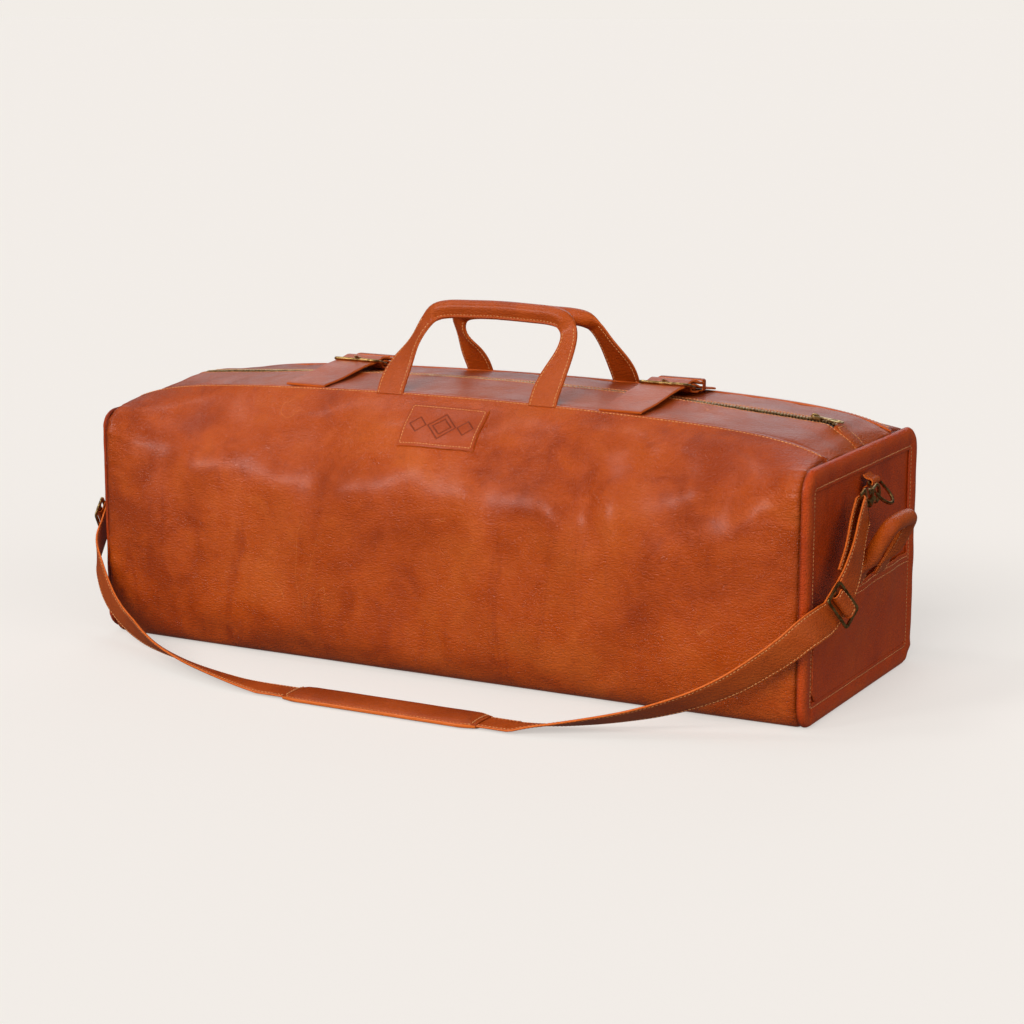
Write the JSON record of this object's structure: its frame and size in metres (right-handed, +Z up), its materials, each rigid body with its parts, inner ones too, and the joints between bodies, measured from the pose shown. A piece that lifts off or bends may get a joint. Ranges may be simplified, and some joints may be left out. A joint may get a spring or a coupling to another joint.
{
  "type": "weekender bag",
  "caption": "Large leather weekender bag with a top zip, carry handles, buckled top straps, an end handle and D-ring at each end, and a clipped-on padded shoulder strap.",
  "frame": {"origin": "on the floor, at the middle of the bag's base", "axes": "+Z up, +X to the right end as seen from the front, -Y to the front, where the patch is and the shoulder strap lies"},
  "size_m": [0.9532, 0.4887, 0.3996],
  "materials": {
    "leather_body": "glossy pull-up leather, fine pebble grain, mottled",
    "leather_end": "glossy pull-up leather, a shade darker",
    "leather_strap": "glossy leather with raw orange edges and tan stitching",
    "leather_patch": "embossed leather with a stitched border",
    "antique_brass": "antique, worn bright on the edges",
    "bright_brass": "satin",
    "zip_tape": "woven",
    "cotton_lining": "plain weave",
    "stiffener_board": "matte"
  },
  "bodies": {
    "bag": {"front_panel": "leather_body", "back_panel": "leather_body", "base_panel": "leather_end", "base_board": "stiffener_board", "lining": "cotton_lining", "patch": "leather_patch", "end_border_right": "leather_body", "end_panel_right": "leather_end", "end_overlay_right": "leather_end", "top_end_right": "leather_body", "zip_end_right": "bright_brass", "zip_tab_right": "leather_strap", "d_ring_tab_right": "leather_strap", "top_strap_front_right": "leather_strap", "top_strap_back_right": "leather_strap", "strap_keeper_right": "leather_strap", "end_border_left": "leather_body", "end_panel_left": "leather_end", "end_overlay_left": "leather_end", "top_end_left": "leather_body", "zip_end_left": "bright_brass", "zip_tab_left": "leather_strap", "d_ring_tab_left": "leather_strap", "top_strap_front_left": "leather_strap", "top_strap_back_left": "leather_strap", "strap_keeper_left": "leather_strap"},
    "mouth_front": {"top_panel_front": "leather_body", "zip_teeth_front": "bright_brass", "zip_tape_front": "zip_tape"},
    "mouth_back": {"top_panel_back": "leather_body", "zip_teeth_back": "bright_brass", "zip_tape_back": "zip_tape"},
    "zip_slider": {"zip_slider": "antique_brass"},
    "zip_pull": {"zip_pull": "bright_brass"},
    "handle_front": {"handle_front_strap": "leather_strap", "handle_front_grip": "leather_strap"},
    "handle_back": {"handle_back_strap": "leather_strap", "handle_back_grip": "leather_strap"},
    "shoulder_strap": {"shoulder_strap": "leather_strap", "hook_eye_right": "antique_brass", "hook_eye_left": "antique_brass"},
    "shoulder_pad": {"shoulder_pad": "leather_strap"},
    "buckle_frame_right": {"buckle_frame_right": "antique_brass"},
    "buckle_prong_right": {"buckle_prong_right": "bright_brass"},
    "end_handle_right": {"end_handle_right_strap": "leather_strap", "end_handle_right_grip": "leather_strap"},
    "d_ring_right": {"d_ring_right": "antique_brass"},
    "snap_hook_right": {"snap_hook_right": "antique_brass"},
    "hook_bolt_right": {"hook_bolt_right": "bright_brass"},
    "adjuster_right": {"adjuster_right": "antique_brass", "strap_loop_right": "leather_strap"},
    "buckle_frame_left": {"buckle_frame_left": "antique_brass"},
    "buckle_prong_left": {"buckle_prong_left": "bright_brass"},
    "end_handle_left": {"end_handle_left_strap": "leather_strap", "end_handle_left_grip": "leather_strap"},
    "d_ring_left": {"d_ring_left": "antique_brass"},
    "snap_hook_left": {"snap_hook_left": "antique_brass"},
    "hook_bolt_left": {"hook_bolt_left": "bright_brass"},
    "adjuster_left": {"adjuster_left": "antique_brass", "strap_loop_left": "leather_strap"}
  },
  "joints": [
    {"name": "mouth_front_fold", "type": "hinge", "parent": "bag", "child": "mouth_front", "pos_m": [0, -0.0944, 0.2825], "axis": [-1, 0, 0], "range_deg": [0, 80]},
    {"name": "mouth_back_fold", "type": "hinge", "parent": "bag", "child": "mouth_back", "pos_m": [0, 0.0944, 0.2825], "axis": [1, 0, 0], "range_deg": [0, 80]},
    {"name": "zip_travel", "type": "hinge", "parent": "bag", "child": "zip_slider", "pos_m": [0, 0, -4.508], "axis": [0, 1, 0], "range_deg": [-8.96, 0]},
    {"name": "zip_pull_flip", "type": "hinge", "parent": "zip_slider", "child": "zip_pull", "pos_m": [0.37507, 0, 0.29377], "axis": [0, -1, 0], "range_deg": [0, 175]},
    {"name": "handle_front_swing", "type": "hinge", "parent": "bag", "child": "handle_front", "pos_m": [0, -0.097, 0.3026], "axis": [1, 0, 0], "range_deg": [-12, 125]},
    {"name": "handle_back_swing", "type": "hinge", "parent": "bag", "child": "handle_back", "pos_m": [0, 0.097, 0.3026], "axis": [-1, 0, 0], "range_deg": [-12, 125]},
    {"name": "shoulder_strap_swing", "type": "hinge", "parent": "bag", "child": "shoulder_strap", "pos_m": [0, -0.015, 0.22145], "axis": [-1, 0, 0], "range_deg": [0, 140]},
    {"name": "shoulder_pad_slide", "type": "slide", "parent": "shoulder_strap", "child": "shoulder_pad", "axis": [1, 0, 0], "range_m": [-0.025, 0.025]},
    {"name": "buckle_frame_right_lift", "type": "hinge", "parent": "bag", "child": "buckle_frame_right", "pos_m": [0.195, 0.034, 0.3078], "axis": [-1, 0, 0], "range_deg": [0, 8]},
    {"name": "buckle_prong_right_lift", "type": "hinge", "parent": "buckle_frame_right", "child": "buckle_prong_right", "pos_m": [0.195, 0.034, 0.3078], "axis": [-1, 0, 0], "range_deg": [0, 15]},
    {"name": "end_handle_right_swing", "type": "hinge", "parent": "bag", "child": "end_handle_right", "pos_m": [0.4368, 0, 0.126], "axis": [0, 1, 0], "range_deg": [-6, 75]},
    {"name": "d_ring_right_swing", "type": "hinge", "parent": "bag", "child": "d_ring_right", "pos_m": [0.44, 0, 0.231], "axis": [0, 1, 0], "range_deg": [-4, 4]},
    {"name": "snap_hook_right_swivel", "type": "hinge", "parent": "shoulder_strap", "child": "snap_hook_right", "pos_m": [0.44955, -0.015, 0.22145], "axis": [0, -0.9511, -0.309], "range_deg": [-6, 6]},
    {"name": "hook_bolt_right_pull", "type": "slide", "parent": "snap_hook_right", "child": "hook_bolt_right", "axis": [0, -0.9511, -0.309], "range_m": [0, 0.005], "stiffness_N_per_m": 150},
    {"name": "adjuster_right_slide", "type": "slide", "parent": "shoulder_strap", "child": "adjuster_right", "axis": [-0.1713, -0.728, -0.6638], "range_m": [-0.008, 0.008]},
    {"name": "buckle_frame_left_lift", "type": "hinge", "parent": "bag", "child": "buckle_frame_left", "pos_m": [-0.195, 0.034, 0.3078], "axis": [-1, 0, 0], "range_deg": [0, 8]},
    {"name": "buckle_prong_left_lift", "type": "hinge", "parent": "buckle_frame_left", "child": "buckle_prong_left", "pos_m": [-0.195, 0.034, 0.3078], "axis": [-1, 0, 0], "range_deg": [0, 15]},
    {"name": "end_handle_left_swing", "type": "hinge", "parent": "bag", "child": "end_handle_left", "pos_m": [-0.4368, 0, 0.126], "axis": [0, -1, 0], "range_deg": [-6, 75]},
    {"name": "d_ring_left_swing", "type": "hinge", "parent": "bag", "child": "d_ring_left", "pos_m": [-0.44, 0, 0.231], "axis": [0, -1, 0], "range_deg": [-4, 4]},
    {"name": "snap_hook_left_swivel", "type": "hinge", "parent": "shoulder_strap", "child": "snap_hook_left", "pos_m": [-0.44955, -0.015, 0.22145], "axis": [0, -0.9511, -0.309], "range_deg": [-6, 6]},
    {"name": "hook_bolt_left_pull", "type": "slide", "parent": "snap_hook_left", "child": "hook_bolt_left", "axis": [0, -0.9511, -0.309], "range_m": [0, 0.005], "stiffness_N_per_m": 150},
    {"name": "adjuster_left_slide", "type": "slide", "parent": "shoulder_strap", "child": "adjuster_left", "axis": [0.1713, -0.728, -0.6638], "range_m": [-0.008, 0.008]}
  ]
}
